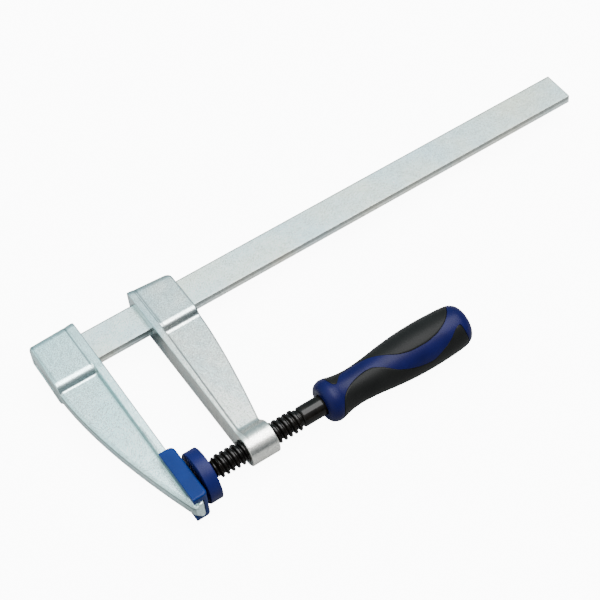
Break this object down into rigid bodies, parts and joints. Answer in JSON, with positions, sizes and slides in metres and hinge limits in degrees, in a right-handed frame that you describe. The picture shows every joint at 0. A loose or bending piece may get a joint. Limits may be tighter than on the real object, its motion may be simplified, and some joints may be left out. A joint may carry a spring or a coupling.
{
  "type": "f clamp",
  "caption": "F clamp: flat bar, fixed jaw with plastic cap, sliding jaw with threaded spindle, swivel pad and two-part handle.",
  "frame": {"origin": "centre of the fixed jaw cap's clamping face, on the spindle's axis", "axes": "+X along the bar towards its free end and along the spindle; the jaws reach from the bar towards -Y; +Z is normal to the plane of bar and jaws"},
  "size_m": [0.4367, 0.1712, 0.0368],
  "materials": {
    "bar_zinc": "zinc plated rail, satin",
    "cast_zinc": "zinc plated casting, finely speckled",
    "black_steel": "black, glossy",
    "spring_steel": "bright wire",
    "cap_blue": "satin",
    "pad_violet": "satin",
    "handle_blue": "semi-gloss",
    "grip_black": "satin"
  },
  "bodies": {
    "bar_and_fixed_jaw": {"bar": "bar_zinc", "fixed_jaw": "cast_zinc", "fixed_jaw_cap": "cap_blue"},
    "sliding_arm": {"sliding_jaw": "cast_zinc"},
    "feed_carrier": {"pad_retaining_ring": "spring_steel"},
    "screw": {"spindle": "black_steel", "handle_core": "handle_blue", "grip_panel_front": "grip_black", "grip_panel_rear": "grip_black"},
    "pad": {"swivel_pad": "black_steel", "pad_cap": "pad_violet"}
  },
  "joints": [
    {"name": "jaw_slide", "type": "slide", "parent": "bar_and_fixed_jaw", "child": "sliding_arm", "axis": [1, 0, 0], "range_m": [0, 0.32]},
    {"name": "spindle_feed", "type": "slide", "parent": "sliding_arm", "child": "feed_carrier", "axis": [1, 0, 0], "range_m": [0, 0.0221]},
    {"name": "spindle_turn", "type": "hinge", "parent": "feed_carrier", "child": "screw", "pos_m": [0.0097, 0, 0], "axis": [1, 0, 0], "range_deg": [0, 1980]},
    {"name": "pad_tilt", "type": "hinge", "parent": "feed_carrier", "child": "pad", "pos_m": [0.0097, 0, 0], "axis": [0, 0, 1], "range_deg": [-4, 4]}
  ],
  "couplings": [
    {"joint": "spindle_feed", "follows": "spindle_turn", "m_per_rad": 0.00063662}
  ]
}
